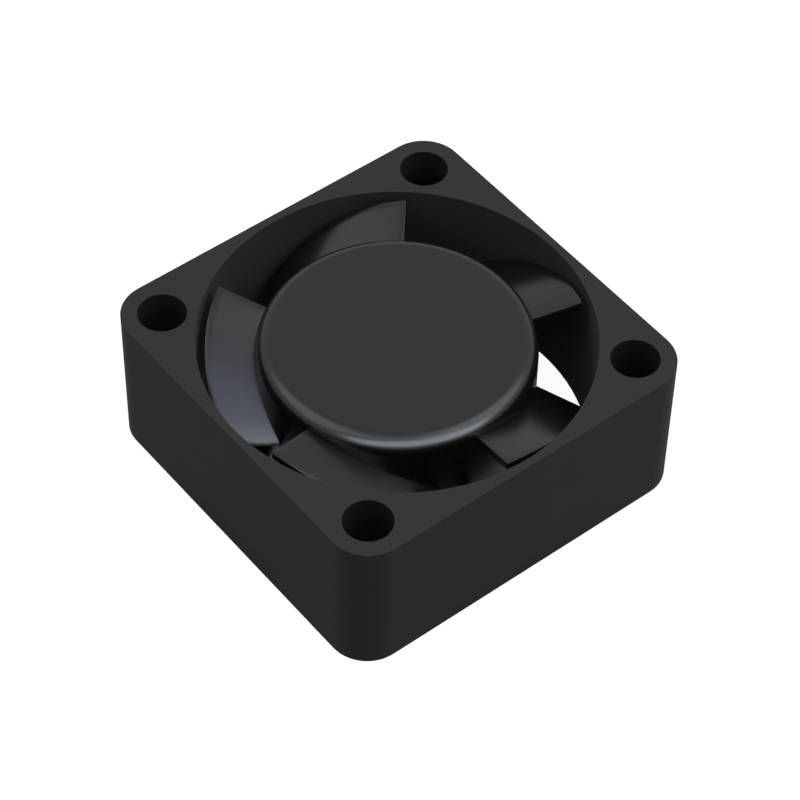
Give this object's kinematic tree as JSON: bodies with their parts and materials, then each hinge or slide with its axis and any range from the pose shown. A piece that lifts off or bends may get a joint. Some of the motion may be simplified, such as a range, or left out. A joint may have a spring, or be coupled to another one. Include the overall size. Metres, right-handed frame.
{
  "type": "cooling fan",
  "caption": "Small square axial cooling fan with a bladed hub in a round bore, corner mounting holes and a brushless ball-bearing motor.",
  "frame": {"origin": "centre of the outlet face that the frame stands on, on the fan axis", "axes": "+Z along the fan axis from the outlet face with the struts to the inlet face with the hub, X and Y along the square frame's sides"},
  "size_m": [0.025, 0.025, 0.01],
  "materials": {
    "frame_plastic": "satin black moulded plastic",
    "impeller_plastic": "satin black moulded plastic",
    "yoke_steel": "satin zinc-plated steel",
    "ferrite": "matte dark grey bonded ferrite",
    "shaft_steel": "polished ground steel",
    "bush_brass": "satin turned brass",
    "tube_brass": "satin turned brass",
    "spring_steel": "satin spring wire",
    "clip_steel": "satin blackened spring steel",
    "washer_nylon": "matte natural nylon",
    "bearing_steel": "polished bearing steel",
    "ball_steel": "polished balls",
    "cage_steel": "satin pressed steel",
    "shield_steel": "satin pressed steel",
    "lamination_steel": "matte electrical steel",
    "insulator_plastic": "matte ivory moulded plastic",
    "winding_wire": "gloss enamelled copper wire",
    "board_laminate": "satin green solder mask on glass laminate",
    "chip_plastic": "matte black moulding",
    "chip_ceramic": "matte tan ceramic",
    "resistor_ceramic": "satin dark glaze on ceramic",
    "tinned_metal": "satin tin plating",
    "solder": "bright solder"
  },
  "bodies": {
    "frame": {"fan_frame": "frame_plastic", "bearing_tube": "tube_brass", "stator_laminations": "lamination_steel", "lower_insulator": "insulator_plastic", "upper_insulator": "insulator_plastic", "circuit_board": "board_laminate", "hall_driver_ic": "chip_plastic", "hall_driver_ic_leads": "tinned_metal", "chip_capacitor": "chip_ceramic", "chip_resistor": "resistor_ceramic", "chip_diode": "chip_plastic", "terminal_pins": "tinned_metal", "solder_joints": "solder", "lower_bearing_outer_ring": "bearing_steel", "lower_bearing_shields": "shield_steel", "upper_bearing_outer_ring": "bearing_steel", "upper_bearing_shields": "shield_steel", "coil_1": "winding_wire", "coil_2": "winding_wire", "coil_3": "winding_wire", "coil_4": "winding_wire"},
    "rotor": {"impeller": "impeller_plastic", "rotor_yoke": "yoke_steel", "rotor_magnet": "ferrite", "shaft": "shaft_steel", "shaft_bush": "bush_brass", "preload_spring": "spring_steel", "spacer_washer": "washer_nylon", "retaining_clip": "clip_steel", "lower_bearing_inner_ring": "bearing_steel", "upper_bearing_inner_ring": "bearing_steel"},
    "lower_ball_set": {"lower_bearing_balls": "ball_steel", "lower_bearing_cage": "cage_steel"},
    "upper_ball_set": {"upper_bearing_balls": "ball_steel", "upper_bearing_cage": "cage_steel"}
  },
  "joints": [
    {"name": "impeller_spin", "type": "hinge", "parent": "frame", "child": "rotor", "pos_m": [0, 0, 0.005], "axis": [0, 0, -1], "continuous": true},
    {"name": "lower_ball_set_spin", "type": "hinge", "parent": "frame", "child": "lower_ball_set", "pos_m": [0, 0, 0.0023], "axis": [0, 0, -1], "continuous": true},
    {"name": "upper_ball_set_spin", "type": "hinge", "parent": "frame", "child": "upper_ball_set", "pos_m": [0, 0, 0.0066], "axis": [0, 0, -1], "continuous": true}
  ],
  "couplings": [
    {"joint": "lower_ball_set_spin", "follows": "impeller_spin", "ratio": 0.38225},
    {"joint": "upper_ball_set_spin", "follows": "impeller_spin", "ratio": 0.38225}
  ]
}
